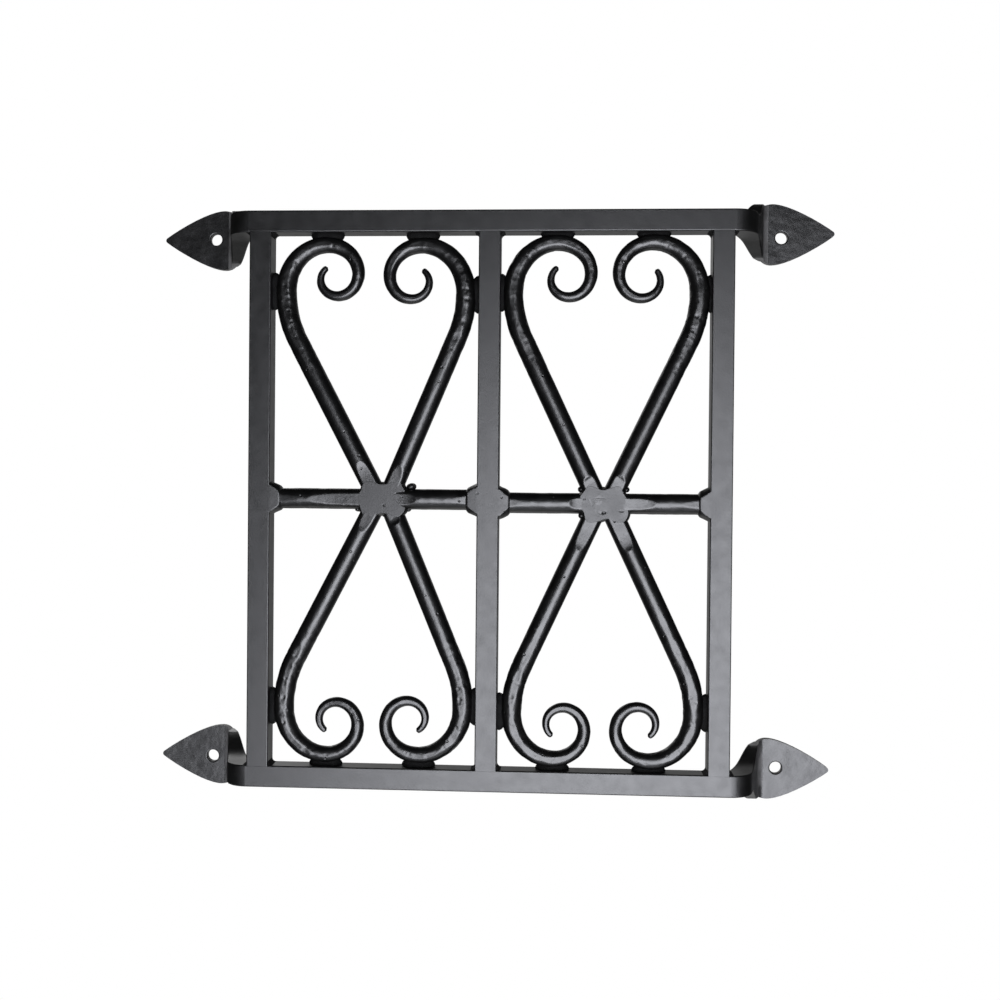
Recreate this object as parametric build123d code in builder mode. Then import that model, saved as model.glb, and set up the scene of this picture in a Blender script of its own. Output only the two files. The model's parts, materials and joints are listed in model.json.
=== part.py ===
"""Wrought-iron grille that is screwed over the small window of a speakeasy door.

Seen from the front, +X is to the right and +Z is up. The front faces -Y, and the
door's face is the plane Y = 0. The origin is the centre of the four screw holes.
All sizes are in millimetres.
"""
from build123d import *
from math import asin, atan2, cos, exp, hypot, pi, radians, sin, tan
import os

os.makedirs("parts", exist_ok=True)

# Bar stock
square_bar = 9.5
square_bar_corner = 0.5
round_bar = 9.0

# Frame: outer size, the space between its back and the door, and how far the
# uprights' ends run up the forged edges of the rails
frame_width = 210.0
frame_height = 252.0
standoff = 30.0
stile_seat = 0.4

# Ears, forged from the two ends of each rail
hole_beyond_frame = 26.0
screw_hole = 5.5
hole_rim = 0.6
leaf_thickness = 3.0
leaf_width = 27.4
neck_width = 24.2
flare_width = 26.4
flare_length = 24.5
flare_opening = 11.0
widest_to_hole = 4.2
hole_to_point = 23.8
point_angle = 38.0
point_radius = 1.3
point_ease = 4.5
widest_ease = 8.2
hole_to_crease = 7.6
hole_to_heel = 9.0
ear_lead = 0.5
ear_slope = 15.0
bend_inside_radius = 1.0
crease_radius = 2.5
heel_radius = 5.0
forged_edge = 0.6

# How far each leaf came off the anvil above the line of its rail
leaf_rises = {
    "upper": {"left": -0.5, "right": 1.6},
    "lower": {"left": 0.7, "right": -0.5},
}

# Crossbars, and the place on each where its four scrolls meet
crossbar_heights = {"left": 0.6, "right": -0.5}
crossing_shifts = {"left": 4.0, "right": 0.0}

# Scrolls: a straight leg, a long bend towards the stile, and a curl that tightens
leg_spread = 2.0
foot_seat = 0.6
lead_in_radius = 48.0
curl_tightening = 0.32
curl_least_radius = 4.0
scroll_tip = 2.4
taper_power = 0.75
curl_stations = 20

# How each scroll came off the anvil: its radius where it passes the stile, the
# degrees it turns from there, and the weld gaps that it leaves at stile and rail
scrolls = {
    "left_upper_outer": dict(radius=23.2, turn=421, stile_gap=1.4, rail_gap=1.2),
    "left_upper_inner": dict(radius=24.6, turn=420, stile_gap=1.2, rail_gap=1.5),
    "left_lower_outer": dict(radius=24.0, turn=422, stile_gap=1.5, rail_gap=1.1),
    "left_lower_inner": dict(radius=24.9, turn=427, stile_gap=1.2, rail_gap=1.5),
    "right_upper_outer": dict(radius=25.6, turn=408, stile_gap=0.4, rail_gap=0.4),
    "right_upper_inner": dict(radius=24.8, turn=421, stile_gap=0.8, rail_gap=0.5),
    "right_lower_outer": dict(radius=24.6, turn=421, stile_gap=1.3, rail_gap=0.9),
    "right_lower_inner": dict(radius=23.2, turn=419, stile_gap=1.6, rail_gap=1.1),
}

# Welds, and the grinding of the crossings
corner_weld = 1.8
weld_inset = 0.75
end_weld_along_bar = 3.8
end_weld_up_stile = 2.9
end_weld_inset = 0.3
stile_weld_length = 14.5
rail_weld_length = 13.0
curl_weld_width = 5.6
crossing_weld_width = 21.0
crossing_weld_height = 15.2
crossing_weld_crown = 1.0
crossing_weld_dome = 18.0
grind_depth = 0.9
grind_flat_radius = 8.0
grind_runout_radius = 15.5

# Faces and axes that the pieces share
bar_axis_y = -(standoff + square_bar / 2)
front_y = -(standoff + square_bar)
rail_axis_z = (frame_height - square_bar) / 2
rail_face_z = frame_height / 2 - square_bar
outer_stile_x = (frame_width - square_bar) / 2
bar_radius = round_bar / 2
cell_start_x = square_bar / 2
cell_end_x = outer_stile_x - square_bar / 2
end_weld_radius = bar_radius + end_weld_up_stile
side_signs = {"left": -1, "right": 1}
level_signs = {"upper": 1, "lower": -1}
crossing_x = {
    side: sign * (cell_start_x + cell_end_x) / 2 + crossing_shifts[side]
    for side, sign in side_signs.items()
}


def save(builder, name):
    """Label a finished piece and write it under its node name."""
    builder.part.label = name
    export_step(builder.part, f"parts/{name}.step")


# Places along a rail, from its middle
hole_x = frame_width / 2 + hole_beyond_frame
crease_x = hole_x - hole_to_crease
heel_x = hole_x - hole_to_heel
widest_x = hole_x - widest_to_hole
point_x = hole_x + hole_to_point
knee_x = crease_x - (standoff + square_bar - leaf_thickness) * tan(radians(ear_slope))
inner_knee_x = frame_width / 2 + ear_lead

# Places along an ear's side, from the door
neck_y = -leaf_thickness - crease_radius
flare_y = neck_y - flare_length
flare_middle_y = (neck_y + flare_y) / 2
flare_middle_width = flare_width - flare_length * tan(radians(flare_opening))


def leaf_side(rise, hand):
    """The upper or lower edge of a leaf seen from the front, from heel to point."""
    heel = (heel_x, rise + hand * neck_width / 2)
    widest = (widest_x, rise + hand * leaf_width / 2)
    slope = radians(point_angle)
    end_x = point_x - point_radius + point_radius * sin(slope)
    end_z = point_radius * cos(slope)
    Line((0, heel[1]), heel)
    TangentArc(widest, heel, tangent=(-1, 0))
    Bezier(
        widest,
        (widest_x + widest_ease, widest[1]),
        (end_x - point_ease * cos(slope), rise + hand * (end_z + point_ease * sin(slope))),
        (end_x, rise + hand * end_z),
    )
    return (end_x, rise + hand * end_z)


def forge_half_rail(rise):
    """Half a rail with its ear, cut as seen from above, from the side and in front."""
    with BuildPart() as half:
        with BuildSketch(Plane.XY):
            with BuildLine():
                FilletPolyline(
                    (0, front_y),
                    (knee_x, front_y),
                    (crease_x, -leaf_thickness),
                    (point_x, -leaf_thickness),
                    radius=[bend_inside_radius + square_bar, crease_radius],
                )
                Line((point_x, -leaf_thickness), (point_x, 0))
                FilletPolyline(
                    (point_x, 0),
                    (heel_x, 0),
                    (inner_knee_x, -standoff),
                    (0, -standoff),
                    radius=[heel_radius, bend_inside_radius],
                )
                Line((0, -standoff), (0, front_y))
            make_face()
        extrude(amount=leaf_width, both=True)
        with BuildSketch(Plane.YZ):
            with BuildLine():
                Line((front_y, -square_bar / 2), (front_y, square_bar / 2))
                Line((0, rise - leaf_width), (0, rise + leaf_width))
                for hand in (-1, 1):
                    bar_z = hand * square_bar / 2
                    flare_end = (neck_y, rise + hand * flare_width / 2)
                    beside_leaf = (-leaf_thickness, rise + hand * leaf_width)
                    Line((front_y, bar_z), (flare_y, bar_z))
                    Bezier(
                        (flare_y, bar_z),
                        (flare_middle_y, bar_z),
                        (flare_middle_y, rise + hand * flare_middle_width / 2),
                        flare_end,
                    )
                    Polyline(flare_end, beside_leaf, (0, beside_leaf[1]))
            make_face()
        extrude(amount=point_x, mode=Mode.INTERSECT)
        with BuildSketch(Plane.XZ):
            with BuildLine():
                Line((0, rise - neck_width / 2), (0, rise + neck_width / 2))
                upper_end = leaf_side(rise, 1)
                lower_end = leaf_side(rise, -1)
                ThreePointArc(upper_end, (point_x, rise), lower_end)
            make_face()
        extrude(amount=-front_y, mode=Mode.INTERSECT)
        with Locations(Plane((hole_x, 0, 0), z_dir=(0, 1, 0))):
            Hole(screw_hole / 2)
        front_rim = half.edges(Select.LAST).filter_by(GeomType.CIRCLE).sort_by(Axis.Y)[0]
        fillet(front_rim, hole_rim)
        bar_edges = half.edges().filter_by(Axis.X).sort_by(SortBy.LENGTH)[-4:]
        fillet(bar_edges, forged_edge)
    return half.part


rails = {}
for level, level_sign in level_signs.items():
    rises = leaf_rises[level]
    with BuildPart() as placed_rail:
        with Locations((0, 0, level_sign * rail_axis_z)):
            add(forge_half_rail(rises["right"]))
            add(forge_half_rail(rises["left"]).mirror(Plane.YZ))
    rails[level] = placed_rail


def curl_length(scroll, turned):
    """Length of a curl's axis up to this turn, in radians."""
    spare = scroll["radius"] - curl_least_radius
    tightened = (1 - exp(-curl_tightening * turned)) / curl_tightening
    return curl_least_radius * turned + spare * tightened


def curl_offset(scroll, turned):
    """Way from where the axis passes the stile, away from stile and from rail."""
    spare = (scroll["radius"] - curl_least_radius) / (1 + curl_tightening**2)
    shrink = exp(-curl_tightening * turned)
    away = 1 - shrink * (cos(turned) + curl_tightening * sin(turned))
    along = curl_tightening + shrink * (sin(turned) - curl_tightening * cos(turned))
    return (
        curl_least_radius * (1 - cos(turned)) + spare * away,
        -curl_least_radius * sin(turned) - spare * along,
    )


def curl_diameter(scroll, turned):
    """Diameter of the bar in the curl, drawn down towards the tip."""
    left = 1 - curl_length(scroll, turned) / curl_length(scroll, radians(scroll["turn"]))
    return scroll_tip + (round_bar - scroll_tip) * max(left, 0) ** taper_power


def make_scroll(name):
    """A scroll from its foot on the crossbar to its tip, and its two weld places."""
    scroll = scrolls[name]
    side, level, place = name.split("_")
    side_sign = side_signs[side]
    level_sign = level_signs[level]
    inward = -side_sign if place == "outer" else side_sign
    stile_x = side_sign * (cell_end_x if place == "outer" else cell_start_x)

    def point(off_stile, off_rail):
        return (stile_x + inward * off_stile, level_sign * (rail_face_z - off_rail))

    def across(off_stile, off_rail, heading):
        x, z = point(off_stile, off_rail)
        direction = (inward * sin(heading), 0, level_sign * cos(heading))
        return Plane(origin=(x, bar_axis_y, z), x_dir=(0, 1, 0), z_dir=direction)

    top_stile, top_rail = curl_offset(scroll, pi / 2)
    pass_stile = scroll["stile_gap"] + bar_radius
    pass_rail = scroll["rail_gap"] + curl_diameter(scroll, pi / 2) / 2 - top_rail
    foot_stile = abs(crossing_x[side] - stile_x) - leg_spread
    foot_rail = rail_face_z - level_sign * crossbar_heights[side]

    bend_stile = pass_stile + lead_in_radius
    away = hypot(bend_stile - foot_stile, foot_rail - pass_rail)
    lean = asin(lead_in_radius / away) - atan2(bend_stile - foot_stile, foot_rail - pass_rail)
    bend = [
        point(bend_stile - lead_in_radius * cos(turn), pass_rail + lead_in_radius * sin(turn))
        for turn in (lean, lean / 2, 0)
    ]

    foot_z = crossbar_heights[side] + level_sign * (bar_radius - foot_seat)
    mitre = Plane(origin=(crossing_x[side], 0, 0), z_dir=(-inward, 0, 0))
    saw_cut = Plane(origin=(0, 0, foot_z), z_dir=(0, 0, level_sign))

    with BuildPart() as bar:
        with BuildLine(Plane.XZ.offset(-bar_axis_y)):
            Line(point(foot_stile, foot_rail), bend[0])
            ThreePointArc(*bend)
        with BuildSketch(across(foot_stile, foot_rail, -lean)):
            Circle(bar_radius)
        sweep()
        split(bisect_by=mitre, keep=Keep.TOP)
        split(bisect_by=saw_cut, keep=Keep.TOP)
        add(crossbars[side].part, mode=Mode.SUBTRACT)
        for station in range(curl_stations + 1):
            turned = radians(scroll["turn"]) * station / curl_stations
            off_stile, off_rail = curl_offset(scroll, turned)
            with BuildSketch(across(pass_stile + off_stile, pass_rail + off_rail, turned)):
                Circle(curl_diameter(scroll, turned) / 2)
        loft()
        add(grinders[side].part, mode=Mode.SUBTRACT)

    stile_weld_x, stile_weld_z = point(scroll["stile_gap"] / 2, pass_rail)
    rail_weld_x, rail_weld_z = point(pass_stile + top_stile, scroll["rail_gap"] / 2)
    weld_places = {
        "stile": Location((stile_weld_x, bar_axis_y, stile_weld_z)),
        "rail": Location((rail_weld_x, bar_axis_y, rail_weld_z), (0, 90, 0)),
    }
    return bar, weld_places


def spindle(length, width):
    """A weld bead along Z, widest in its middle."""
    with BuildPart() as bead:
        with BuildSketch(Plane.XZ):
            Ellipse(width / 2, length / 2)
            split(bisect_by=Plane.YZ, keep=Keep.TOP)
        revolve(axis=Axis.Z)
    return bead.part


# Uprights: sawn to fit between the rails, welded, and dressed flush in front
stiles = {}
for name, x in {"left": -outer_stile_x, "middle": 0, "right": outer_stile_x}.items():
    with BuildPart() as stile:
        with BuildSketch(Plane.XY.offset(-rail_face_z - stile_seat)):
            with Locations((x, bar_axis_y)):
                RectangleRounded(square_bar, square_bar, square_bar_corner)
        extrude(amount=2 * (rail_face_z + stile_seat))
        for placed_rail in rails.values():
            add(placed_rail.part, mode=Mode.SUBTRACT)
    stiles[name] = stile
    save(stile, f"{name}_stile")

for level, placed_rail in rails.items():
    save(placed_rail, "top_rail" if level == "upper" else "bottom_rail")

# The flats that grinding leaves in front of the two crossings
grinders = {}
crossbars = {}
for side in side_signs:
    x = crossing_x[side]
    z = crossbar_heights[side]
    crest_y = bar_axis_y - bar_radius
    runout = grind_runout_radius - grind_flat_radius
    grinder_edge_x = x + grind_runout_radius + runout
    with BuildPart() as grinder:
        with BuildSketch(Plane.XY.offset(z)):
            with BuildLine():
                Polyline(
                    (x, crest_y + grind_depth),
                    (x + grind_flat_radius, crest_y + grind_depth),
                    (grinder_edge_x, crest_y - grind_depth),
                    (grinder_edge_x, crest_y - square_bar),
                    (x, crest_y - square_bar),
                    close=True,
                )
            make_face()
        revolve(axis=Axis((x, 0, z), (0, 1, 0)))
    grinders[side] = grinder

    start_x = cell_start_x if side == "right" else -cell_end_x
    with BuildPart() as crossbar:
        with BuildSketch(Plane.YZ.offset(start_x)):
            with Locations((bar_axis_y, z)):
                Circle(bar_radius)
        extrude(amount=cell_end_x - cell_start_x)
        add(grinder.part, mode=Mode.SUBTRACT)
    crossbars[side] = crossbar
    save(crossbar, f"{side}_crossbar")

bars = {}
for name, scroll in scrolls.items():
    side, level, place = name.split("_")
    bar, weld_places = make_scroll(name)
    bars[name] = bar
    save(bar, f"{name}_scroll")

    stile = stiles[side if place == "outer" else "middle"]
    with BuildPart() as stile_weld:
        with Locations(weld_places["stile"]):
            add(spindle(stile_weld_length, curl_weld_width + scroll["stile_gap"]))
        add(stile.part, mode=Mode.SUBTRACT)
        add(bar.part, mode=Mode.SUBTRACT)
    save(stile_weld, f"{name}_stile_weld")

    with BuildPart() as rail_weld:
        with Locations(weld_places["rail"]):
            add(spindle(rail_weld_length, curl_weld_width + scroll["rail_gap"]))
        add(rails[level].part, mode=Mode.SUBTRACT)
        add(bar.part, mode=Mode.SUBTRACT)
    save(rail_weld, f"{name}_rail_weld")

for side in side_signs:
    with BuildPart() as crossing_weld:
        front_of_weld = bar_radius - grind_depth
        with BuildSketch(Plane.XZ.offset(-bar_axis_y + front_of_weld)):
            with Locations((crossing_x[side], crossbar_heights[side])):
                Ellipse(crossing_weld_width / 2, crossing_weld_height / 2)
        extrude(amount=-(front_of_weld + bar_radius + crossing_weld_crown))
        dome_y = bar_axis_y + bar_radius + crossing_weld_crown - crossing_weld_dome
        with Locations((crossing_x[side], dome_y, crossbar_heights[side])):
            Sphere(crossing_weld_dome, mode=Mode.INTERSECT)
        add(crossbars[side].part, mode=Mode.SUBTRACT)
        for name, bar in bars.items():
            if name.startswith(side):
                add(bar.part, mode=Mode.SUBTRACT)
    save(crossing_weld, f"{side}_crossing_weld")

    for place, face_x, inward in (
        ("outer", side_signs[side] * cell_end_x, -side_signs[side]),
        ("inner", side_signs[side] * cell_start_x, side_signs[side]),
    ):
        with BuildPart() as end_weld:
            with BuildSketch(Plane.XZ):
                with BuildLine():
                    Polyline(
                        (face_x, 0),
                        (face_x, end_weld_radius),
                        (face_x + inward * end_weld_along_bar, bar_radius),
                        (face_x + inward * end_weld_along_bar, 0),
                        close=True,
                    )
                make_face()
            revolve(axis=Axis.X)
            with BuildSketch(Plane.YZ.offset(face_x)):
                Rectangle(square_bar - 2 * end_weld_inset, 2 * end_weld_radius)
            extrude(amount=end_weld_along_bar, both=True, mode=Mode.INTERSECT)
        with BuildPart() as placed_end_weld:
            with Locations((0, bar_axis_y, crossbar_heights[side])):
                add(end_weld.part)
            add(crossbars[side].part, mode=Mode.SUBTRACT)
        save(placed_end_weld, f"{side}_crossbar_{place}_weld")

# Small beads in the corners where the uprights meet the rails
for name, x in {"left": -outer_stile_x, "middle": 0, "right": outer_stile_x}.items():
    for level, level_sign in level_signs.items():
        with BuildPart() as joint_weld:
            for hand in (-1, 1):
                corner_x = x + hand * square_bar / 2
                with BuildSketch(Plane.XZ.offset(-bar_axis_y)):
                    with BuildLine():
                        corner = (corner_x, level_sign * rail_face_z)
                        along_rail = (corner_x + hand * corner_weld, level_sign * rail_face_z)
                        along_stile = (corner_x, level_sign * (rail_face_z - corner_weld))
                        Line(corner, along_rail)
                        TangentArc(along_rail, along_stile, tangent=(-hand, 0))
                        Line(along_stile, corner)
                    make_face()
                extrude(amount=square_bar / 2 - weld_inset, both=True)
        save(joint_weld, f"{name}_stile_{level}_weld")
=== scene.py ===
"""Looks of a wrought-iron grille for the small window of a speakeasy door.

Sizes of the grille are in millimetres and become metres where a mesh or a material is
made. Those of the stage are in metres. The frame is the CAD model's: +X to the right,
+Z up, and the front faces -Y.
"""

import json
import math

import bpy
import numpy as np
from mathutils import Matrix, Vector
from mathutils.geometry import delaunay_2d_cdt


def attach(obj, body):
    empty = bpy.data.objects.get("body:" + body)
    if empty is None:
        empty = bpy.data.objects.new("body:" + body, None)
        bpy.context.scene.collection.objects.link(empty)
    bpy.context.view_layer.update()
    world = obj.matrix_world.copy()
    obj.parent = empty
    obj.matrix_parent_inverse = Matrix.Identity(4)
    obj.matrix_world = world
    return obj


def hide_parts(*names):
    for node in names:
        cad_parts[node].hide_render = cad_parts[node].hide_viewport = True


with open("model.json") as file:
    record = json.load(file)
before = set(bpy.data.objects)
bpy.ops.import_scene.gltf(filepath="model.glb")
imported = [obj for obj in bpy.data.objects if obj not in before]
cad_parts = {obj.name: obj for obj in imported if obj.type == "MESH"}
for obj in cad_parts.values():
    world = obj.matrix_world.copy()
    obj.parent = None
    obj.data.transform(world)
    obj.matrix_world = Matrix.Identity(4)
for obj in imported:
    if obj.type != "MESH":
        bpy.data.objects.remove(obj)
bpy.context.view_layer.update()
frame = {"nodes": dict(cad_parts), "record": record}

MM = 0.001
FULL_TURN = 2 * math.pi
X_AXIS, Y_AXIS, Z_AXIS = np.eye(3)
IN_FRONT_PLANE = (1, 0, 1)

# Sizes that the pieces share with the CAD source
BAR_AXIS_Y = -34.75
BAR_RADIUS = 4.5
BAR_WIDTH = 2 * BAR_RADIUS
STILE_FRONT_Y = -39.5
CELL_START_X = 4.75
CELL_END_X = 95.5
RAIL_FACE_Z = 116.5
SIDES = {"left": -1, "right": 1}
LEVELS = {"upper": 1, "lower": -1}
CROSSINGS = {"left": (-46.125, 0.6), "right": (50.125, -0.5)}
LEG_SPREAD = 2.0
LEAD_IN_RADIUS = 48.0
CURL_TIGHTENING = 0.32
CURL_LEAST_RADIUS = 4.0
SCROLL_TIP = 2.4
TAPER_POWER = 0.75
STILE_BEAD_LENGTH = 14.5
RAIL_BEAD_LENGTH = 13.0
BEAD_WIDTH = 5.6

# Paint: how it refracts, and the depth of its orange peel
ENAMEL_IOR = 1.55
PEEL_DEPTH = 0.02

# Ears: between which x their dents grow to this depth, and the painted highlight, a pale
# strip in their creases, by its x, half its width and the y between which it fades in
DENTED_X = (112.0, 126.0)
DENT_DEPTH = 0.32
CREASE_X = 121.6
CREASE_HIGHLIGHT_HALF_WIDTH = 3.4
CREASE_HIGHLIGHT_FADE_Y = (-12.0, -7.0)

# Sine waves in an unevenness: how many, their lengths for its size, and their joint height
WAVES = 14
WAVE_LENGTHS = (1.2, 2.6)
WAVES_HEIGHT = 3.8

# Ripples of each surface: their height and the distance between them
RIPPLES = {
    "levelled_front": (0.16, 7.0),
    "scroll": (0.05, 9.0),
    "crossbar": (0.03, 11.0),
    "ground_flat": (0.02, 6.0),
    "bead": (0.3, 3.6),
    "fillet": (0.16, 3.0),
    "plug": (0.25, 3.4),
    "plug_back": (0.25, 4.0),
    "lump": (0.12, 2.2),
}

# Hammer marks: how many, and their least and largest widths and depths
HAMMER_MARKS = {
    "scroll": (300, (2.4, 6.0), (0.05, 0.17)),
    "curl": (90, (1.2, 2.4), (0.10, 0.24)),
    "crossbar": (130, (2.4, 6.5), (0.05, 0.16)),
}

# First seed of each kind of random mark, from which the pieces of that kind count up
SEEDS = {
    "crossbar_marks": 20,
    "crossbar_ripples": 30,
    "scroll_marks": 40,
    "curl_marks": 50,
    "scroll_ripples": 60,
    "levelled_front": 70,
    "ground_flat": 80,
    "stile_bead": 100,
    "rail_bead": 120,
    "outer_fillet": 200,
    "inner_fillet": 210,
}
CROSSING_SEEDS = {"left": 300, "right": 310}

# How finely the forms are made: sides of the round ones, rings along them, and points
# on the lines that a scroll follows
BAR_SIDES = 56
BEAD_SIDES = 28
FILLET_SIDES = 96
LUMP_SIDES = 20
CROSSBAR_RINGS = 210
BEAD_RINGS = 40
LUMP_RINGS = 12
CURL_POINTS = 3000
BEND_POINTS = 200

# Scrolls: how far from the foot the first ring lies, and how far it is from ring to ring
FOOT_START = 0.8
RING_STEP = 0.4

# Their forging: the share of a leg that stays smooth and the share over which hammering
# begins, the least hammering of leg and thin tip, how much the front was levelled, how
# long the round end of the tip is, and how blunt
SMOOTH_SHARE = 0.55
WORKED_SHARE = 0.45
LEG_LEAST_WORKED = 0.12
TIP_LEAST_WORKED = 0.45
FRONT_LEVELLED = 0.035
TIP_LENGTH = 1.0
TIP_BLUNTNESS = 0.02

# Crossbars: how far they run into a stile, how hard they were hammered, and the flat
# that was dressed on both ends
BAR_SUNK = 0.15
CROSSBAR_WORKED = 0.6
END_FLAT_DEPTH = 0.35
END_FLAT_LENGTH = 5.0
END_FLAT_SLOPE = 0.05

# Beads: how much longer their thin ends make them, how far behind the bar's axis they
# lie, and their section
RUN_OUT_SHARE = 1.15
BEAD_SET_BACK = 1.0
BEAD_SECTION = (1, 0.8, 1)

# Fillets at the crossbars' ends: rings by their distance from the stile, and at three
# of these distances how far the weld reaches out and lies behind the stile's front
FILLET_RUN = np.array(
    [-1.2, -0.5, 0.0, 0.4, 0.8, 1.2, 1.7, 2.2, 2.7, 3.2, 3.6, 3.9, 4.2, 4.5, 4.75, 4.9]
)
FILLET_KNOTS = (0.0, 4.1, 4.9)
FILLET_REACHES = (7.5, 5.4, 4.35)
FILLET_SINKS = (0.0, 0.15, 0.6)
FILLET_PROUD = 0.02
FILLET_BACK_Y = -30.2

# The ground flats of the crossings: their plane, how far it runs out to the front as
# the grinder is lifted off, early on and at the end, and the weld metal's own front
GROUND_Y = -38.35
RUN_OUT_RISE = 0.25
RUN_OUT_END_RISE = 0.65
PLUG_FRONT_Y = GROUND_Y - 0.03

# Outlines of the weld metal in a crossing, front to back: y, size, and what is added
PLUG_LAYERS = (
    (PLUG_FRONT_Y, 1.0, -0.3), (PLUG_FRONT_Y, 1.0, -0.2), (PLUG_FRONT_Y + 0.1, 1.0, -0.05),
    (PLUG_FRONT_Y + 0.4, 1.0, 0.05), (-37.2, 1.0, 0.5), (-35.8, 1.0, 0.95), (-34.2, 1.0, 1.0),
    (-32.6, 0.96, 0.9), (-31.2, 0.88, 0.7), (-30.2, 0.76, 0.4), (-29.6, 0.6, 0.2),
    (-29.3, 0.4, 0.0), (-29.2, 0.2, 0.0),
)

# How deep behind its front it has no ripples, and the depth over which they then grow
PLUG_EVEN = 0.5
PLUG_RIPPLE_FADE = 3.0

# Its lumps: half their depth, how far behind the bar's axis they lie, and the angle from
# their poles at which their rings begin
LUMP_DEPTH = 2.2
LUMP_SET_BACK = 0.6
LUMP_POLE = 0.1

# The net of points in a flat: how far apart they are and how far from the flat's border,
# how it is cut into triangles, and how much wider a pit's sloping sides make it
NET_STEP = 0.3
NET_MARGIN = 0.25
INSIDE_OUTLINE = 1
NET_ACCURACY = 1e-6
PIT_SLOPE = 1.6

# How many of a mesh's faces are enough to tell whether it faces out
FACES_TO_TELL = 4000

# The stage's floor
FLOOR_RADIUS = 0.30
FLOOR_Y = 0.15
FLOOR_Z = -0.45
FLOOR_CORNERS = 96

# How far from its crossing the ground flat reaches along each bar, and over how much
# of that the grinder was lifted off
FLAT_REACHES = {
    "left_upper_outer": (19.0, 7.0),
    "left_upper_inner": (16.5, 9.0),
    "left_lower_outer": (17.0, 9.0),
    "left_lower_inner": (12.5, 2.5),
    "right_upper_outer": (14.0, 3.0),
    "right_upper_inner": (13.5, 3.0),
    "right_lower_outer": (23.0, 6.0),
    "right_lower_inner": (23.0, 10.0),
    "left_outer": (32.0, 24.0),
    "left_inner": (15.0, 8.0),
    "right_outer": (22.0, 14.0),
    "right_inner": (15.0, 6.0),
}

# Radius where each scroll passes its stile, degrees it turns from there, and its
# weld gaps at stile and rail
SCROLLS = {
    "left_upper_outer": (23.2, 421, 1.4, 1.2),
    "left_upper_inner": (24.6, 420, 1.2, 1.5),
    "left_lower_outer": (24.0, 422, 1.5, 1.1),
    "left_lower_inner": (24.9, 427, 1.2, 1.5),
    "right_upper_outer": (25.6, 408, 0.4, 0.4),
    "right_upper_inner": (24.8, 421, 0.8, 0.5),
    "right_lower_outer": (24.6, 421, 1.3, 0.9),
    "right_lower_inner": (23.2, 419, 1.6, 1.1),
}

# Outline of the weld metal in each crossing, anticlockwise round the crossing's centre
CROSSING_OUTLINES = {
    "left": (
        (10.6, 3.3), (9.0, 5.4), (8.3, 7.6), (6.0, 8.0), (3.5, 7.2), (0.0, 6.3), (-3.6, 7.4),
        (-6.4, 8.0), (-8.6, 7.0), (-9.3, 3.8), (-10.6, 2.2), (-10.6, -2.0), (-9.8, -3.2),
        (-8.7, -7.0), (-6.2, -8.0), (-3.4, -7.1), (0.5, -5.9), (3.9, -7.0), (6.4, -8.0),
        (8.8, -7.0), (10.7, -3.4), (8.8, -2.9), (7.0, -1.5), (5.4, 0.4), (5.0, 2.4), (7.0, 3.0),
    ),
    "right": (
        (10.0, 2.4), (8.4, 4.6), (7.6, 7.2), (5.6, 8.0), (2.6, 6.8), (-0.8, 5.8), (-3.5, 7.2),
        (-6.0, 8.0), (-7.6, 7.2), (-8.5, 5.6), (-10.4, 3.3), (-10.6, 1.6), (-10.4, -2.0),
        (-8.6, -3.6), (-8.2, -7.0), (-6.2, -8.6), (-2.9, -8.0), (-0.3, -6.9), (2.4, -6.4),
        (4.6, -7.9), (7.4, -8.4), (9.6, -7.4), (10.8, -4.4), (10.6, -2.9), (10.8, 0.0),
    ),
}

# Lumps of weld metal that stand in the corners of a crossing: x, z, width, height
CROSSING_LUMPS = {
    "left": (
        (12.2, 5.4, 4.2, 3.4), (-11.2, -4.6, 2.9, 2.4), (0.8, -7.0, 2.8, 1.9),
        (11.2, -4.4, 2.4, 2.2),
    ),
    "right": (
        (-9.9, 6.0, 2.4, 2.6), (9.9, 6.2, 2.6, 2.6), (-9.6, -5.2, 2.4, 2.6),
        (0.0, 6.4, 2.6, 2.0),
    ),
}

# Pits that the grinder left in the flat: x, z, half length, half width, tilt, sag, depth
CROSSING_PITS = {
    "left": ((0.8, -2.7, 0.5, 0.4, 0.0, 0.0, 0.3),),
    "right": (
        (-0.4, -4.0, 1.9, 0.35, 0.1, 0.5, 0.35), (7.6, -3.2, 1.3, 0.22, 0.0, 0.0, 0.25),
        (-0.6, 2.0, 1.2, 0.2, 0.0, 0.0, 0.12), (-4.6, -1.4, 5.2, 0.16, -1.05, 0.0, 0.1),
    ),
}


def colour(hex_value):
    """An sRGB hex value as linear RGBA."""
    channels = [int(hex_value[i : i + 2], 16) / 255 for i in (0, 2, 4)]
    return [c / 12.92 if c <= 0.04045 else ((c + 0.055) / 1.055) ** 2.4 for c in channels] + [1.0]


THICK_FILM, THIN_FILM = colour("070708"), colour("0f0f10")
# Pale colour of the dust specks, which also paints the highlight in the ears' creases
PALE_DUST_AND_HIGHLIGHT = colour("77777a")


def add(material, kind, settings=None, **links):
    """Add a node: settings are its properties or socket values, links what its sockets take.

    A socket goes by its name, or by its number as i0, i1 and so on.
    """
    node = material.node_tree.nodes.new("ShaderNode" + kind)

    def socket(key):
        numbered = key[0] == "i" and key[1:].isdigit()
        return node.inputs[int(key[1:]) if numbered else key]

    for key, value in (settings or {}).items():
        if hasattr(node, key):
            setattr(node, key, value)
        else:
            socket(key).default_value = value
    for key, source in links.items():
        material.node_tree.links.new(source, socket(key))
    return node


def noise(material, place, apart, detail):
    """Soft random values with hills some millimetres apart."""
    settings = {"Scale": 1 / (apart * MM), "Detail": detail}
    return add(material, "TexNoise", settings, Vector=place).outputs["Fac"]


def spots(material, place, apart):
    """How far the next of many random points is, as a share of the millimetres between them."""
    return add(material, "TexVoronoi", {"Scale": 1 / (apart * MM)}, Vector=place).outputs["Distance"]


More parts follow.
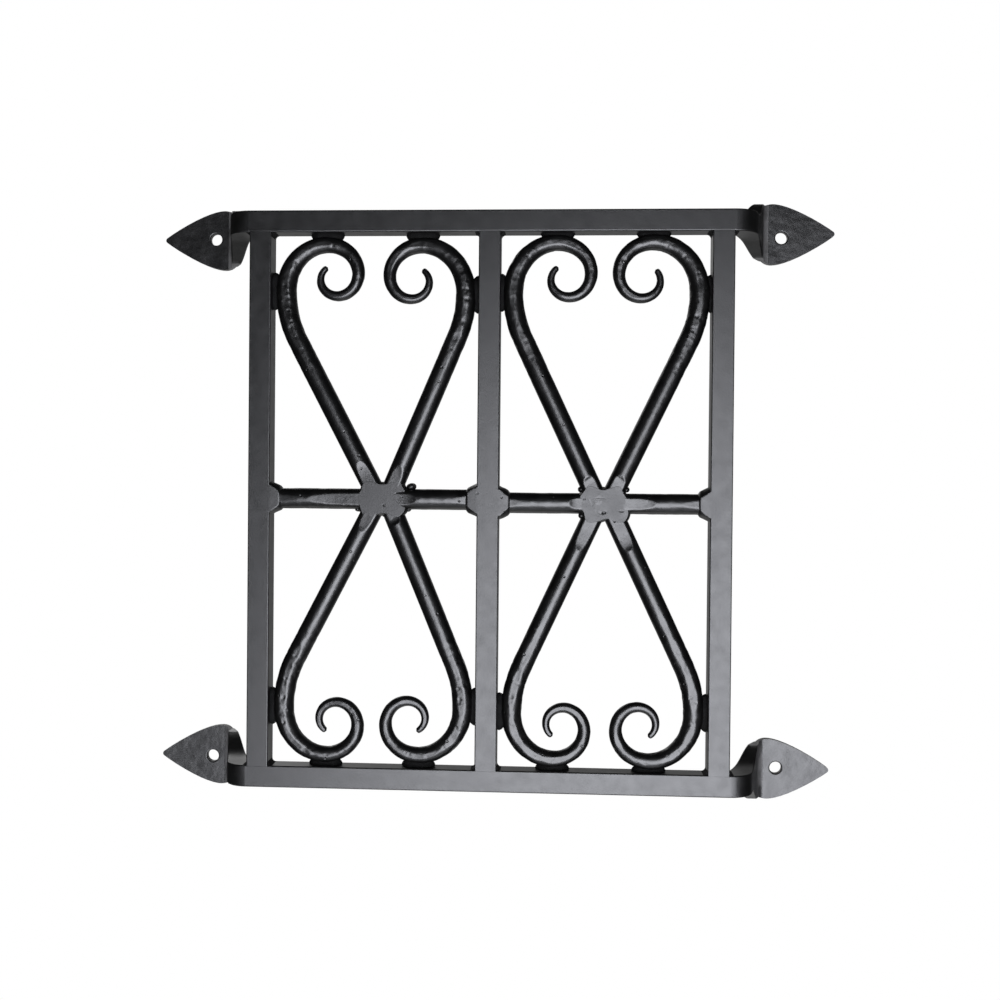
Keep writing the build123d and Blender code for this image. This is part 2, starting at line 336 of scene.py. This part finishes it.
def remap(material, value, low, high, first=0.0, last=1.0):
    """A value that becomes first where it was low and last where it was high."""
    settings = {"From Min": low, "From Max": high, "To Min": first, "To Max": last}
    return add(material, "MapRange", settings, Value=value).outputs["Result"]


def calculate(material, operation, *links, **settings):
    """The result of a Math node on the values that are linked to it."""
    sources = {f"i{number}": source for number, source in enumerate(links)}
    return add(material, "Math", {"operation": operation, **settings}, **sources).outputs[0]


def bump(material, height, depth, **under):
    """The way a surface faces once it has bumps that are depth millimetres deep."""
    settings = {"Strength": 1.0, "Distance": depth * MM}
    return add(material, "Bump", settings, Height=height, **under).outputs["Normal"]


def dust_and_highlight_over(material, share, paint):
    """The colour of paint with this share of pale colour on it: dust in the specks, and a painted
    highlight in the ears' creases.
    """
    settings = {"data_type": "RGBA", "i7": PALE_DUST_AND_HIGHLIGHT}
    return add(material, "Mix", settings, i0=share, i6=paint).outputs[2]


def black_enamel(
    name, roughness, uneven_size, uneven_depth, specks=0.0, pit_depth=0.0, gloss_level=0.5
):
    """Sprayed satin black enamel on iron: dark, softly mirroring, a little uneven.

    uneven_size and uneven_depth, in millimetres, are those of the iron under it, as is
    pit_depth for the small pits that scale left in it, 1 mm wide and some 6 mm apart.
    specks is how much of the dust in it shows.
    """
    material = bpy.data.materials.new(name)
    material.use_nodes = True
    shader = material.node_tree.nodes["Principled BSDF"]
    shader.inputs["IOR"].default_value = ENAMEL_IOR
    shader.inputs["Specular IOR Level"].default_value = gloss_level
    place = add(material, "TexCoord").outputs["Object"]

    # The film is thicker in some places, which makes it a shade deeper and glossier
    film = noise(material, place, apart=5.0, detail=3.0)
    tone = add(material, "ValToRGB", i0=film)
    thick, thin = tone.color_ramp.elements
    thick.position, thin.position = 0.35, 0.7
    thick.color, thin.color = THICK_FILM, THIN_FILM
    gloss = remap(material, film, 0.3, 0.7, roughness - 0.03, roughness + 0.04)

    # Grains of dust that settled in the wet paint, about 0.4 mm wide
    dust_and_highlight = remap(material, spots(material, place, apart=9.0), 0.018, 0.03, specks, 0.0)

    # Orange peel of the spray, 0.9 mm apart, over the pits and the unevenness of the iron
    iron = bump(material, noise(material, place, uneven_size, detail=3.0), uneven_depth)
    pits = remap(material, spots(material, place, apart=6.0), 0.05, 0.11)
    pitted = bump(material, pits, pit_depth, Normal=iron)
    spray = noise(material, place, apart=0.9, detail=1.0)
    peel = bump(material, spray, PEEL_DEPTH, Normal=pitted)

    for source, socket in (
        (dust_and_highlight_over(material, dust_and_highlight, tone.outputs["Color"]), "Base Color"),
        (gloss, "Roughness"),
        (peel, "Normal"),
    ):
        material.node_tree.links.new(source, shader.inputs[socket])
    return material


def dent_ears_and_paint_crease_highlight(material):
    """Forge the enamelled rail's ears: dented leaves, and a pale painted highlight in the crease."""
    shader = material.node_tree.nodes["Principled BSDF"]
    enamel = shader.inputs["Base Color"].links[0].from_socket
    smooth = shader.inputs["Normal"].links[0].from_socket
    place = add(material, "TexCoord").outputs["Object"]
    split = add(material, "SeparateXYZ", i0=place)
    aside = calculate(material, "ABSOLUTE", split.outputs["X"])

    # The hammer left the leaves and struts uneven, about 7 mm from dent to dent
    dents = noise(material, place, apart=7.0, detail=2.0)
    depth = remap(material, aside, *[x * MM for x in DENTED_X], 0.0, DENT_DEPTH * MM)
    dented = add(material, "Bump", {"Strength": 1.0}, Height=dents, Distance=depth, Normal=smooth)

    # A pale painted highlight lies in patches in the crease between strut and leaf, deep behind the
    # rail
    crease = calculate(material, "COMPARE", aside, i1=CREASE_X * MM, i2=CREASE_HIGHLIGHT_HALF_WIDTH * MM)
    behind = remap(material, split.outputs["Y"], *[y * MM for y in CREASE_HIGHLIGHT_FADE_Y])
    patchy = remap(material, dents, 0.3, 0.6, 0.25, 1.0)
    dust_and_highlight = calculate(material, "MULTIPLY", calculate(material, "MULTIPLY", crease, behind), patchy)

    links = material.node_tree.links
    links.new(dented.outputs["Normal"], shader.inputs["Normal"])
    # The crease's painted highlight goes into the paint's colour
    links.new(dust_and_highlight_over(material, dust_and_highlight, enamel), shader.inputs["Base Color"])


# Rolled square bar under enamel: nearly flat, with a faint roll of the surface
smooth_enamel = black_enamel("satin_black_enamel_on_rolled_bar", 0.39, 7.0, 0.045)
# The ears get dents, and a painted highlight in their creases
dent_ears_and_paint_crease_highlight(smooth_enamel)
# Round bar worked with a hammer: the blows are in the mesh, the scale under the paint is here
hammered_enamel = black_enamel("satin_black_enamel_on_hammered_bar", 0.33, 2.2, 0.07, 0.55, 0.18)
# Weld metal: rippled and pitted under the same enamel
weld_enamel = black_enamel("satin_black_enamel_on_weld_metal", 0.40, 3.0, 0.05, 0.2, 0.10)
# Deep weld beads, where only dry overspray of the enamel settled
dusted_enamel = black_enamel("dry_black_enamel_in_deep_welds", 0.80, 1.6, 0.12, gloss_level=0.1)

SLOT_FINISHES = {
    "satin_black_paint": smooth_enamel,
    "hammered_black_paint": hammered_enamel,
    "painted_weld": weld_enamel,
}
for part in frame["record"]["subparts"]:
    corner_weld = part["node"].endswith(("_stile_upper_weld", "_stile_lower_weld"))
    materials = frame["nodes"][part["node"]].data.materials
    materials.clear()
    materials.append(dusted_enamel if corner_weld else SLOT_FINISHES[part["material_slot"]])


def unevenness(points, size, seed):
    """Smooth random heights from about -1 to 1 whose hills are about size apart."""
    rng = np.random.default_rng(seed)
    total = np.zeros(len(points))
    for _ in range(WAVES):
        direction = rng.normal(size=3)
        length = size * rng.uniform(*WAVE_LENGTHS)
        direction *= FULL_TURN / (length * np.linalg.norm(direction))
        total += np.sin(points @ direction + rng.uniform(0, FULL_TURN))
    return total / WAVES_HEIGHT


def ripples(points, kind, seed, share=1.0):
    """Heights of one kind of ripple at these points, in full where share is 1."""
    height, size = RIPPLES[kind]
    return height * share * unevenness(points, size, seed)


def ripple(points, outward, kind, seed, share=1.0):
    """Lift a surface into ripples."""
    return points + outward * ripples(points, kind, seed, share)[:, None]


def hammer(points, outward, strength, kind, seed):
    """Push shallow round hammer marks into a surface, deepest where strength is 1."""
    blows, widths, depths = HAMMER_MARKS[kind]
    rng = np.random.default_rng(seed)
    depth = np.zeros(len(points))
    chance = strength / strength.sum()
    for centre in rng.choice(len(points), blows, p=chance):
        radius = rng.uniform(*widths) / 2
        square = ((points - points[centre]) ** 2).sum(1)
        mark = rng.uniform(*depths) * strength * (1 - square / radius**2)
        depth = np.maximum(depth, mark)
    return points - outward * depth[:, None]


def grind(points, side, reach, lift):
    """Cut back what stands in front of the flat that was ground on a crossing."""
    x, z = CROSSINGS[side]
    away = np.hypot(points[:, 0] - x, points[:, 2] - z)
    lifted = ((away - reach + lift) / lift).clip(0)
    limit = GROUND_Y - RUN_OUT_RISE * lifted - RUN_OUT_END_RISE * lifted**4
    limit += ripples(points * IN_FRONT_PLANE, "ground_flat", SEEDS["ground_flat"])
    ground = points.copy()
    ground[:, 1] = np.maximum(ground[:, 1], limit)
    return ground


def circle(sides):
    """Angles of the sides of a round form."""
    return np.linspace(0, FULL_TURN, sides, endpoint=False)


def stand(flat, y):
    """Points given by x and z, put at y."""
    return np.stack([flat[:, 0], np.broadcast_to(y, len(flat)), flat[:, 1]], axis=1)


def skin(rings, open_start=False):
    """Points and faces of a form through rings of points.

    It is closed at its end, and at its start too unless open_start is set.
    """
    count, sides = rings.shape[:2]
    index = np.arange(count * sides).reshape(count, sides)
    turned = np.roll(index, -1, axis=1)
    quads = np.stack([index[:-1], turned[:-1], turned[1:], index[1:]], axis=-1).reshape(-1, 4)
    start, faces = [], quads.tolist()
    if not open_start:
        start = [rings[0].mean(0)]
        faces += [(count * sides, b, a) for a, b in zip(index[0], turned[0])]
    middle = count * sides + len(start)
    faces += [(middle, a, b) for a, b in zip(index[-1], turned[-1])]
    return np.concatenate([rings.reshape(-1, 3), start + [rings[-1].mean(0)]]), faces


def forge(name, node, points, faces, slot, crease=40, finish=None):
    """Make the piece that stands for a CAD node, shaded smooth but for real creases."""
    mesh = bpy.data.meshes.new(name)
    mesh.from_pydata((points * MM).tolist(), [], [tuple(int(i) for i in face) for face in faces])
    mesh.polygons.foreach_set("use_smooth", [True] * len(mesh.polygons))
    mesh.update()

    # The faces have to face out, which some of them are enough to tell
    some = range(0, len(faces), max(1, len(faces) // FACES_TO_TELL))
    corner = np.array([mesh.vertices[faces[i][0]].co for i in some])
    normal = np.array([mesh.polygons[i].normal for i in some])
    if ((corner - (points * MM).mean(0)) * normal).sum() < 0:
        mesh.flip_normals()

    mesh.set_sharp_from_angle(angle=math.radians(crease))
    mesh.materials.append(finish or SLOT_FINISHES[slot])
    piece = bpy.data.objects.new(name, mesh)
    bpy.context.scene.collection.objects.link(piece)
    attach(piece, "root")
    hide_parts(node)


def stile_beside(side, place):
    """X of the stile's face at a half's outer or inner edge, and which way is inward."""
    if place == "outer":
        return SIDES[side] * CELL_END_X, -SIDES[side]
    return SIDES[side] * CELL_START_X, SIDES[side]


def scroll_line(name):
    """A scroll's centre line from foot to tip: points, headings, widths and length so far.

    After these come the length of its straight leg and the places of its two beads.
    """
    radius, turn, stile_gap, rail_gap = SCROLLS[name]
    side, level, place = name.split("_")
    stile_x, inward = stile_beside(side, place)
    crossing_x, crossing_z = CROSSINGS[side]

    # The curl, measured from where it passes the stile
    turned = np.linspace(0, math.radians(turn), CURL_POINTS)
    spare = radius - CURL_LEAST_RADIUS
    shrink = np.exp(-CURL_TIGHTENING * turned)
    share = spare / (1 + CURL_TIGHTENING**2)
    length = CURL_LEAST_RADIUS * turned + spare * (1 - shrink) / CURL_TIGHTENING
    off_stile = CURL_LEAST_RADIUS * (1 - np.cos(turned)) + share * (
        1 - shrink * (np.cos(turned) + CURL_TIGHTENING * np.sin(turned))
    )
    off_rail = -CURL_LEAST_RADIUS * np.sin(turned) - share * (
        CURL_TIGHTENING + shrink * (np.sin(turned) - CURL_TIGHTENING * np.cos(turned))
    )
    width = SCROLL_TIP + (BAR_WIDTH - SCROLL_TIP) * (1 - length / length[-1]) ** TAPER_POWER

    # Where it passes the stile, and where its top passes the rail
    top = math.pi / 2
    pass_stile = stile_gap + BAR_RADIUS
    pass_rail = rail_gap + np.interp(top, turned, width) / 2 - np.interp(top, turned, off_rail)
    top_x = stile_x + inward * (pass_stile + np.interp(top, turned, off_stile))
    places = {
        "stile": (stile_x + inward * stile_gap / 2, LEVELS[level] * (RAIL_FACE_Z - pass_rail)),
        "rail": (top_x, LEVELS[level] * (RAIL_FACE_Z - rail_gap / 2)),
    }

    # The straight leg from the crossing, and the wide bend that leads from it into the curl
    foot_stile = abs(crossing_x - stile_x) - LEG_SPREAD
    foot_rail = RAIL_FACE_Z - LEVELS[level] * crossing_z
    bend_stile = pass_stile + LEAD_IN_RADIUS
    reach = math.hypot(bend_stile - foot_stile, foot_rail - pass_rail)
    lean = math.asin(LEAD_IN_RADIUS / reach)
    lean -= math.atan2(bend_stile - foot_stile, foot_rail - pass_rail)
    bend_turn = np.linspace(lean, 0, BEND_POINTS)
    bend = np.stack([
        bend_stile - LEAD_IN_RADIUS * np.cos(bend_turn),
        pass_rail + LEAD_IN_RADIUS * np.sin(bend_turn),
    ])
    leg_length = math.hypot(bend[0, 0] - foot_stile, bend[1, 0] - foot_rail)
    bend_length = leg_length + LEAD_IN_RADIUS * (lean - bend_turn)

    run = np.concatenate([[0], bend_length, bend_length[-1] + length[1:]])
    line = np.array([
        np.concatenate([[foot_stile], bend[0], pass_stile + off_stile[1:]]),
        np.concatenate([[foot_rail], bend[1], pass_rail + off_rail[1:]]),
        np.concatenate([[-lean], -bend_turn, turned[1:]]),
        np.concatenate([[BAR_WIDTH], np.full(len(bend_turn), BAR_WIDTH), width[1:]]),
    ])
    so_far = np.linspace(FOOT_START, run[-1], int(run[-1] / RING_STEP))
    off_stile, off_rail, heading, width = [np.interp(so_far, run, row) for row in line]
    x = stile_x + inward * off_stile
    z = LEVELS[level] * (RAIL_FACE_Z - off_rail)
    ahead = np.stack([inward * np.sin(heading), LEVELS[level] * np.cos(heading)], axis=1)
    return np.stack([x, z], axis=1), ahead, width, so_far, leg_length, places


def round_bar(centres, ahead, width):
    """Rings of a round bar, and which way its surface faces at each point."""
    angle = circle(BAR_SIDES)
    facing = np.stack(
        [
            -ahead[:, 1, None] * np.cos(angle),
            np.broadcast_to(np.sin(angle), (len(centres), BAR_SIDES)),
            ahead[:, 0, None] * np.cos(angle),
        ],
        axis=-1,
    )
    middle = stand(centres, BAR_AXIS_Y)
    return middle[:, None] + facing * width[:, None, None] / 2, facing


def scroll(number, name):
    """A scroll: smooth at the leg, hammered towards the curl, drawn down to a blunt tip."""
    centres, ahead, width, so_far, leg_length, places = scroll_line(name)
    in_tip = ((so_far - so_far[-1] + TIP_LENGTH) / TIP_LENGTH).clip(0)
    tip = np.sqrt(np.clip(1 - in_tip**2, TIP_BLUNTNESS, 1))
    rings, facing = round_bar(centres, ahead, width * tip)
    points, outward = rings.reshape(-1, 3), facing.reshape(-1, 3)

    past_leg = (so_far - SMOOTH_SHARE * leg_length) / (WORKED_SHARE * leg_length)
    worked = np.clip(past_leg, LEG_LEAST_WORKED, 1)
    worked = worked * np.clip(width / BAR_WIDTH, TIP_LEAST_WORKED, 1)
    worked, half = np.repeat(worked, BAR_SIDES), np.repeat(width / 2, BAR_SIDES)

    # The hammer levelled the front a little, and unevenly
    front = BAR_AXIS_Y - half * (1 - FRONT_LEVELLED * worked)
    seed = SEEDS["levelled_front"] + number
    front += ripples(points * IN_FRONT_PLANE, "levelled_front", seed, worked)
    points[:, 1] = np.maximum(points[:, 1], front)

    points = hammer(points, outward, worked, "scroll", SEEDS["scroll_marks"] + number)
    points = hammer(points, outward, worked**2, "curl", SEEDS["curl_marks"] + number)
    points = ripple(points, outward, "scroll", SEEDS["scroll_ripples"] + number, worked)
    points = grind(points, name.split("_")[0], *FLAT_REACHES[name])
    points, faces = skin(points.reshape(rings.shape))
    forge(f"{name}_scroll_forging", f"{name}_scroll", points, faces, "hammered_black_paint")
    return places


def crossbar(number, side):
    """A round crossbar between two stiles, ground at the crossing and at both ends."""
    sign, (crossing_x, crossing_z) = SIDES[side], CROSSINGS[side]
    low, high = sorted((sign * (CELL_START_X - BAR_SUNK), sign * (CELL_END_X + BAR_SUNK)))
    run = np.linspace(low, high, CROSSBAR_RINGS)
    centres = np.stack([run, np.full(len(run), crossing_z)], axis=1)
    ahead = np.tile([1.0, 0.0], (len(run), 1))
    rings, facing = round_bar(centres, ahead, np.full(len(run), BAR_WIDTH))
    points, outward = rings.reshape(-1, 3), facing.reshape(-1, 3)

    worked = np.full(len(points), CROSSBAR_WORKED)
    points = hammer(points, outward, worked, "crossbar", SEEDS["crossbar_marks"] + number)
    points = ripple(points, outward, "crossbar", SEEDS["crossbar_ripples"] + number)
    outside = (points[:, 0] - crossing_x) * sign > 0
    reach, lift = [
        np.where(outside, outer, inner)
        for outer, inner in zip(FLAT_REACHES[f"{side}_outer"], FLAT_REACHES[f"{side}_inner"])
    ]
    points = grind(points, side, reach, lift)

    # Both ends are dressed flat, and the flats run out along the bar
    to_end = np.minimum(points[:, 0] - low, high - points[:, 0])
    run_out = END_FLAT_SLOPE * (to_end - END_FLAT_LENGTH).clip(0)
    front = BAR_AXIS_Y - BAR_RADIUS + END_FLAT_DEPTH - run_out
    points[:, 1] = np.maximum(points[:, 1], front)
    points, faces = skin(points.reshape(rings.shape))
    forge(f"{side}_crossbar_bar", f"{side}_crossbar", points, faces, "hammered_black_paint")


def bead(name, node, centre, along, length, width, seed):
    """A blunt weld bead, laid deep between a curl and the bar beside it."""
    axis, across = (Z_AXIS, X_AXIS) if along == "z" else (X_AXIS, Z_AXIS)
    run = np.linspace(-1, 1, BEAD_RINGS)
    angle = circle(BEAD_SIDES)
    facing = across * np.cos(angle)[:, None] + Y_AXIS * np.sin(angle)[:, None]

    # The bead keeps its girth nearly to its ends, and its ripples fade towards them
    girth = (1 - abs(run) ** 3).clip(0.003) ** 0.7
    middle = np.array([centre[0], BAR_AXIS_Y + BEAD_SET_BACK, centre[1]])
    rings = middle + run[:, None, None] * axis * length / 2
    rings = rings + facing * BEAD_SECTION * (girth * width / 2)[:, None, None]
    fade = np.repeat((1 - run**2).clip(0) ** 0.5, len(angle))
    points = ripple(rings.reshape(-1, 3), np.tile(facing, (len(run), 1)), "bead", seed, fade)
    points, faces = skin(points.reshape(rings.shape))
    forge(name, node, points, faces, "painted_weld", crease=60, finish=dusted_enamel)


def end_fillet(side, place, seed):
    """Weld round a crossbar's end, dressed flush with the stile's front."""
    stile_x, inward = stile_beside(side, place)
    angle = circle(FILLET_SIDES)
    facing = np.stack([np.zeros(len(angle)), -np.cos(angle), np.sin(angle)], axis=1)
    reach = np.interp(FILLET_RUN, FILLET_KNOTS, FILLET_REACHES)
    rings = np.array([0.0, BAR_AXIS_Y, CROSSINGS[side][1]]) + facing * reach[:, None, None]
    rings[..., 0] = stile_x + inward * FILLET_RUN[:, None]
    outward = np.tile(facing, (len(FILLET_RUN), 1))
    points = ripple(rings.reshape(-1, 3), outward, "fillet", seed)
    front = STILE_FRONT_Y - FILLET_PROUD + np.interp(FILLET_RUN, FILLET_KNOTS, FILLET_SINKS)
    points[:, 1] = points[:, 1].clip(np.repeat(front, len(angle)), FILLET_BACK_Y)
    points, faces = skin(points.reshape(rings.shape))
    forge(
        f"{side}_crossbar_{place}_fillet", f"{side}_crossbar_{place}_weld",
        points, faces, "painted_weld", crease=25,
    )


def lump(centre, width, height, seed):
    """Points and faces of a round drop of weld metal."""
    rise = np.linspace(LUMP_POLE, math.pi - LUMP_POLE, LUMP_RINGS)[:, None]
    angle = circle(LUMP_SIDES)
    shape = (LUMP_RINGS, LUMP_SIDES)
    facing = np.stack(
        [
            np.sin(rise) * np.cos(angle),
            np.broadcast_to(-np.cos(rise), shape),
            np.sin(rise) * np.sin(angle),
        ],
        axis=-1,
    )
    rings = facing * (width / 2, LUMP_DEPTH, height / 2)
    swell = 1 + ripples(rings.reshape(-1, 3), "lump", seed)
    return skin(rings * swell.reshape(*shape, 1) + centre)


def pitted_flat(border, front, side):
    """The ground flat inside a border, as a fine net of points that the pits sink in."""
    low, high = border.min(0), border.max(0)
    rows = np.meshgrid(*[np.arange(a, b, NET_STEP) for a, b in zip(low, high)])
    net = np.stack(rows, axis=-1).reshape(-1, 2)
    close = np.array([np.hypot(*(border - point).T).min() for point in net])
    net = net[close > NET_MARGIN]
    count = len(border)
    outline = [(i, (i + 1) % count) for i in range(count)]
    corners = [Vector(point) for point in [*border, *net]]
    flat, _, faces, *_ = delaunay_2d_cdt(corners, outline, [], INSIDE_OUTLINE, NET_ACCURACY)
    flat = np.array([tuple(point) for point in flat])

    # The border itself stays level, so that it meets the layers behind it
    sunk = np.zeros(len(flat))
    for x, z, length, width, tilt, sag, depth in CROSSING_PITS[side]:
        off = flat - (x, z)
        along = off[:, 0] * math.cos(tilt) + off[:, 1] * math.sin(tilt)
        aside = off[:, 1] * math.cos(tilt) - off[:, 0] * math.sin(tilt)
        aside = aside - sag * (along / length) ** 2
        off_middle = (along / length) ** 2 + (aside / width / PIT_SLOPE) ** 2
        sunk = np.maximum(sunk, depth * (1 - off_middle))
    sunk[:count] = 0
    return stand(flat + CROSSINGS[side], front + sunk), faces


def crossing_plug(side):
    """Weld metal that fills a crossing, ground flat in front and lumpy behind."""
    # The outline's corners are cut three times, which rounds it
    corners = np.array(CROSSING_OUTLINES[side])
    for _ in range(3):
        after = np.roll(corners, -1, axis=0)
        corners = np.stack([0.75 * corners + 0.25 * after, 0.25 * corners + 0.75 * after], axis=1)
        corners = corners.reshape(-1, 2)
    edge = np.roll(corners, -1, axis=0) - np.roll(corners, 1, axis=0)
    away = np.stack([edge[:, 1], -edge[:, 0]], axis=1) / np.linalg.norm(edge, axis=1)[:, None]

    # Its layers, even in front and rippled behind
    x, z = CROSSINGS[side]
    rings = np.array([
        stand(corners * share + away * grown + (x, z), y) for y, share, grown in PLUG_LAYERS
    ])
    border = rings[0, :, [0, 2]].T - (x, z)
    points = rings.reshape(-1, 3)
    seed = CROSSING_SEEDS[side]
    behind = np.clip((points[:, 1] - PLUG_FRONT_Y - PLUG_EVEN) / PLUG_RIPPLE_FADE, 0, 1)
    outward = np.tile(stand(away, 0.0), (len(PLUG_LAYERS), 1))
    points = ripple(points, outward, "plug", seed, behind)
    points[:, 1] += ripples(points, "plug_back", seed + 1, behind)

    # The flat closes the front, and the lumps stand in the corners
    points, faces = skin(points.reshape(rings.shape), open_start=True)
    shells = [pitted_flat(border, PLUG_FRONT_Y, side)]
    for number, (dx, dz, width, height) in enumerate(CROSSING_LUMPS[side]):
        centre = (x + dx, BAR_AXIS_Y + LUMP_SET_BACK, z + dz)
        shells.append(lump(centre, width, height, seed + number))
    for shell, shell_faces in shells:
        faces += [tuple(i + len(points) for i in face) for face in shell_faces]
        points = np.concatenate([points, shell])
    forge(f"{side}_crossing_plug", f"{side}_crossing_weld", points, faces, "painted_weld", crease=50)


bead_places = [scroll(number, name) for number, name in enumerate(SCROLLS)]
for number, side in enumerate(SIDES):
    crossbar(number, side)
for number, (name, (*_, stile_gap, rail_gap)) in enumerate(SCROLLS.items()):
    bead(
        f"{name}_stile_bead", f"{name}_stile_weld", bead_places[number]["stile"], "z",
        RUN_OUT_SHARE * STILE_BEAD_LENGTH, BEAD_WIDTH + stile_gap, SEEDS["stile_bead"] + number,
    )
    bead(
        f"{name}_rail_bead", f"{name}_rail_weld", bead_places[number]["rail"], "x",
        RUN_OUT_SHARE * RAIL_BEAD_LENGTH, BEAD_WIDTH + rail_gap, SEEDS["rail_bead"] + number,
    )
for number, side in enumerate(SIDES):
    for place in ("outer", "inner"):
        end_fillet(side, place, SEEDS[f"{place}_fillet"] + number)
for side in SIDES:
    crossing_plug(side)


# The camera stands in front of the grille, a little to its right
camera_data = bpy.data.cameras.new("camera")
camera_data.sensor_width = 36.0
camera_data.lens = 41.4
camera = bpy.data.objects.new("camera", camera_data)
camera.location = Vector((32.69, -535.12, 5.55)) * MM
camera.rotation_euler = [math.radians(a) for a in (89.442, -0.513, 3.158)]
bpy.context.scene.collection.objects.link(camera)
bpy.context.scene.camera = camera


def seen(shading):
    """1 for a ray on which the stage or the world is seen, and 0 for one that it lights."""
    path = add(shading, "LightPath").outputs
    first = calculate(shading, "ADD", path["Is Camera Ray"], path["Is Glossy Ray"])
    return calculate(shading, "ADD", first, path["Is Transmission Ray"], use_clamp=True)


def stage_material(name, shade, lit):
    """Pale stage paint: its plain shade where it is seen, lit and shadowed a little."""
    material = bpy.data.materials.new(name)
    material.use_nodes = True
    material.node_tree.nodes.clear()
    share = calculate(material, "MULTIPLY", seen(material), i1=1 - lit)
    plain = add(material, "Emission", {"Color": shade, "Strength": 1.0})
    paint = add(material, "BsdfDiffuse", {"Color": shade})
    mix = add(material, "MixShader", i0=share, i1=paint.outputs[0], i2=plain.outputs[0])
    add(material, "OutputMaterial", Surface=mix.outputs[0])
    return material


def stage_mesh(name, points, faces, material):
    """A mesh that belongs to the stage and not to the grille."""
    mesh = bpy.data.meshes.new(name)
    mesh.from_pydata(points, [], faces)
    mesh.materials.append(material)
    thing = bpy.data.objects.new(name, mesh)
    bpy.context.scene.collection.objects.link(thing)
    return thing


# A round pale floor under the grille, just below the picture
floor_points = [
    (FLOOR_RADIUS * math.cos(angle), FLOOR_Y + FLOOR_RADIUS * math.sin(angle), FLOOR_Z)
    for angle in circle(FLOOR_CORNERS)
]
pale_floor = stage_material("pale_floor", colour("fbfbfa"), 0.15)
stage_mesh("floor", floor_points, [tuple(range(FLOOR_CORNERS))], pale_floor)


def flag(name, strength, faces):
    """A studio flag round the set, which shows only in the paint's gloss.

    The set's corners are numbered 0 to 3 at the front and 4 to 7 at the back.
    """
    cloth = bpy.data.materials.new(name + "_cloth")
    cloth.use_nodes = True
    cloth.node_tree.nodes.clear()
    dim = add(cloth, "Emission", {"Color": colour("ffffff"), "Strength": strength})
    add(cloth, "OutputMaterial", Surface=dim.outputs[0])
    half, front, back = 0.62, -1.3, 0.7
    square = [(-half, -half), (half, -half), (half, half), (-half, half)]
    corners = [(x, y, z) for y in (front, back) for x, z in square]
    cloth_mesh = stage_mesh(name, corners, faces, cloth)
    cloth_mesh.visible_camera = False
    cloth_mesh.visible_diffuse = False
    cloth_mesh.visible_shadow = False
    cloth_mesh.visible_transmission = False


# Dark cloth at the front and the sides, and a grey one behind the grille
flag("dark_flag", 0.02, [(0, 1, 2, 3), (0, 1, 5, 4), (1, 2, 6, 5), (2, 3, 7, 6), (3, 0, 4, 7)])
flag("grey_flag", 0.40, [(4, 5, 6, 7)])


def softbox(name, place, target, width, height, radiance):
    """A soft lamp of this radiance, aimed at a point. Places are in metres."""
    light = bpy.data.lights.new(name, "AREA")
    light.shape = "ELLIPSE"
    light.size, light.size_y = width, height
    light.energy = radiance * math.pi**2 * width * height / 4
    lamp = bpy.data.objects.new(name, light)
    lamp.location = place
    lamp.rotation_euler = (Vector(target) - Vector(place)).to_track_quat("-Z", "Y").to_euler()
    lamp.visible_camera = False
    bpy.context.scene.collection.objects.link(lamp)
    return lamp


# A lamp in front lights and shades the grille. The large softbox low to the right
# shows only as the long highlights in the enamel, and a lamp behind edges the bars.
front_lamp = softbox("front_lamp", (0.25, -0.95, -0.45), (0, -0.035, 0), 0.40, 0.40, 4.5)
front_lamp.visible_glossy = False
large_softbox = softbox(
    "large_softbox", (0.14, -0.92, -0.67), (0.14, 0, -0.67), 0.82, 1.66, 10.8
)
large_softbox.visible_diffuse = False
large_softbox.data.color = (0.92, 0.935, 1.0)
softbox("back_lamp", (-0.50, 1.00, 0.50), (0, 0, 0), 0.36, 0.36, 5.0)

# White where it is seen, and a plain light level where it lights
world = bpy.data.worlds.new("white_studio")
world.use_nodes = True
bpy.context.scene.world = world
background = world.node_tree.nodes["Background"]
background.inputs["Color"].default_value = (1, 1, 1, 1)
level = remap(world, seen(world), 0.0, 1.0, 0.45, 1.0)
world.node_tree.links.new(level, background.inputs["Strength"])

bpy.context.scene.view_settings.view_transform = "Standard"
